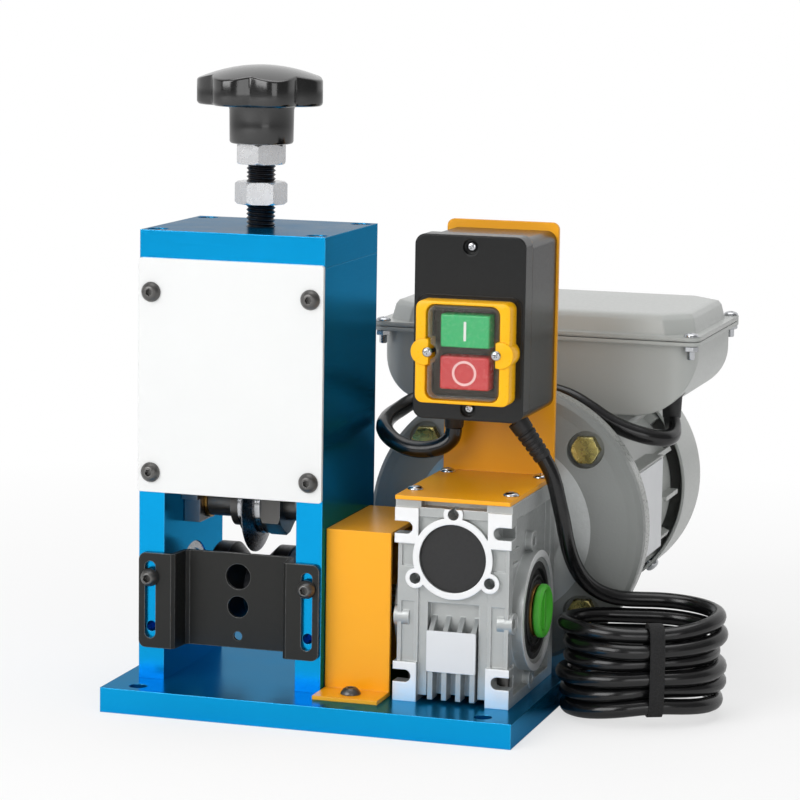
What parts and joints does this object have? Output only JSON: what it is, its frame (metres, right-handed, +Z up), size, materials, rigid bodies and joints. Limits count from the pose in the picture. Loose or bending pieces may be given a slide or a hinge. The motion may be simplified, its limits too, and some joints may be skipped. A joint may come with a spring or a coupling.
{
  "type": "wire stripping machine",
  "caption": "Bench wire stripping machine: a screw presses a round blade down on a grooved feed roller, driven by a flange motor through a worm gearbox.",
  "frame": {"origin": "middle of the base plate's underside", "axes": "+X to the right seen from the wire guide, +Y to the back, the way the wire runs, +Z up"},
  "size_m": [0.2834, 0.308, 0.3081],
  "materials": {
    "blue_anodised": "bright blue anodised, fine machined grain",
    "white_sheet": "satin white coated sheet",
    "black_oxide": "black oxide screws and sheet",
    "bright_steel": "bright zinc and ground steel",
    "threaded_rod": "dark threaded rod",
    "carriage_steel": "milled steel",
    "blade_steel": "dark tool steel with ground bevels",
    "roller_steel": "blackened steel",
    "orange_sheet": "orange powder coat",
    "cast_alloy": "silver grey painted casting",
    "motor_paint": "grey motor enamel",
    "blank_plate": "bare rating plate",
    "bronze": "cast bronze",
    "yellow_zinc": "yellow zinc",
    "seal_rubber": "black rubber",
    "green_plastic": "green plug",
    "laminated_steel": "laminated cores and windings",
    "black_plastic": "black moulded plastic",
    "knob_plastic": "black moulded knob",
    "yellow_plastic": "yellow moulded plastic",
    "clear_boot": "clear silicone boot",
    "ivory_plastic": "contact block plastic",
    "green_button": "green button",
    "red_button": "red button",
    "brown_resin": "terminal board resin",
    "cord_rubber": "black cable sheath"
  },
  "bodies": {
    "frame": {"base_plate": "blue_anodised", "frame_screws": "black_oxide", "left_side_plate": "blue_anodised", "right_side_plate": "blue_anodised", "top_plate": "blue_anodised", "front_cover": "white_sheet", "cover_screws": "black_oxide", "guide_screws": "bright_steel", "roller_bearings": "bright_steel", "drive_cover": "orange_sheet", "gearbox_housing": "cast_alloy", "blank_plates": "blank_plate", "drive_bearings": "bright_steel", "oil_seals": "seal_rubber", "flange_bolts": "yellow_zinc", "motor_front_shield": "motor_paint", "motor_frame": "motor_paint", "stator": "laminated_steel", "motor_rear_shield": "motor_paint", "fan_cowl": "motor_paint", "terminal_box": "motor_paint", "terminal_lid": "motor_paint", "capacitor": "black_plastic", "terminal_board": "brown_resin", "lead_grommets": "seal_rubber", "case_screws": "bright_steel", "switch_bracket": "orange_sheet", "switch_case": "black_plastic", "switch_cover": "black_plastic", "switch_screws": "bright_steel", "button_bezel": "yellow_plastic", "clear_boot": "clear_boot", "contact_block": "ivory_plastic", "motor_lead": "cord_rubber", "strain_relief": "seal_rubber", "power_cord": "cord_rubber", "cord_hank": "cord_rubber", "cord_plug": "black_plastic"},
    "carriage": {"blade_carriage": "carriage_steel", "blade_bushes": "bronze"},
    "press_screw": {"press_rod": "threaded_rod", "press_knob": "knob_plastic", "jam_nut": "bright_steel", "rod_retainer": "bright_steel"},
    "lock_nut": {"lock_nut": "bright_steel"},
    "cutter": {"cutter_blade": "blade_steel", "blade_axle": "roller_steel", "blade_washers": "bright_steel", "blade_nut": "black_oxide"},
    "feed_drive": {"feed_roller": "roller_steel", "roller_shaft": "bright_steel", "shaft_spacers": "bright_steel", "worm_wheel": "bronze", "bore_plug": "green_plastic"},
    "rotor": {"worm_shaft": "bright_steel", "motor_rotor": "laminated_steel", "fan": "black_plastic"},
    "wire_guide": {"wire_guide": "black_oxide"},
    "start_button": {"start_button": "green_button"},
    "stop_button": {"stop_button": "red_button"}
  },
  "joints": [
    {"name": "carriage_slide", "type": "slide", "parent": "frame", "child": "carriage", "axis": [0, 0, 1], "range_m": [-0.004, 0.014]},
    {"name": "screw_turn", "type": "hinge", "parent": "carriage", "child": "press_screw", "pos_m": [-0.046, -0.02, 0.2], "axis": [0, 0, 1], "range_deg": [-722, 2524]},
    {"name": "lock_nut_run", "type": "slide", "parent": "press_screw", "child": "lock_nut", "axis": [0, 0, 1], "range_m": [-0.0068, 0.0082]},
    {"name": "blade_spin", "type": "hinge", "parent": "carriage", "child": "cutter", "pos_m": [-0.046, -0.02, 0.095], "axis": [1, 0, 0], "continuous": true},
    {"name": "feed_spin", "type": "hinge", "parent": "frame", "child": "feed_drive", "pos_m": [-0.046, -0.02, 0.052], "axis": [1, 0, 0], "continuous": true},
    {"name": "motor_spin", "type": "hinge", "parent": "frame", "child": "rotor", "pos_m": [0.065, 0.1, 0.082], "axis": [0, 1, 0], "continuous": true},
    {"name": "guide_slide", "type": "slide", "parent": "frame", "child": "wire_guide", "axis": [0, 0, 1], "range_m": [-0.005, 0.0268]},
    {"name": "start_press", "type": "slide", "parent": "frame", "child": "start_button", "axis": [0, 1, 0], "range_m": [0, 0.003], "stiffness_N_per_m": 300, "springref_m": -0.002},
    {"name": "stop_press", "type": "slide", "parent": "frame", "child": "stop_button", "axis": [0, 1, 0], "range_m": [0, 0.003], "stiffness_N_per_m": 300, "springref_m": -0.002}
  ],
  "couplings": [
    {"joint": "screw_turn", "follows": "carriage_slide", "rad_per_m": 3141.6},
    {"joint": "feed_spin", "follows": "motor_spin", "ratio": 0.066667}
  ]
}
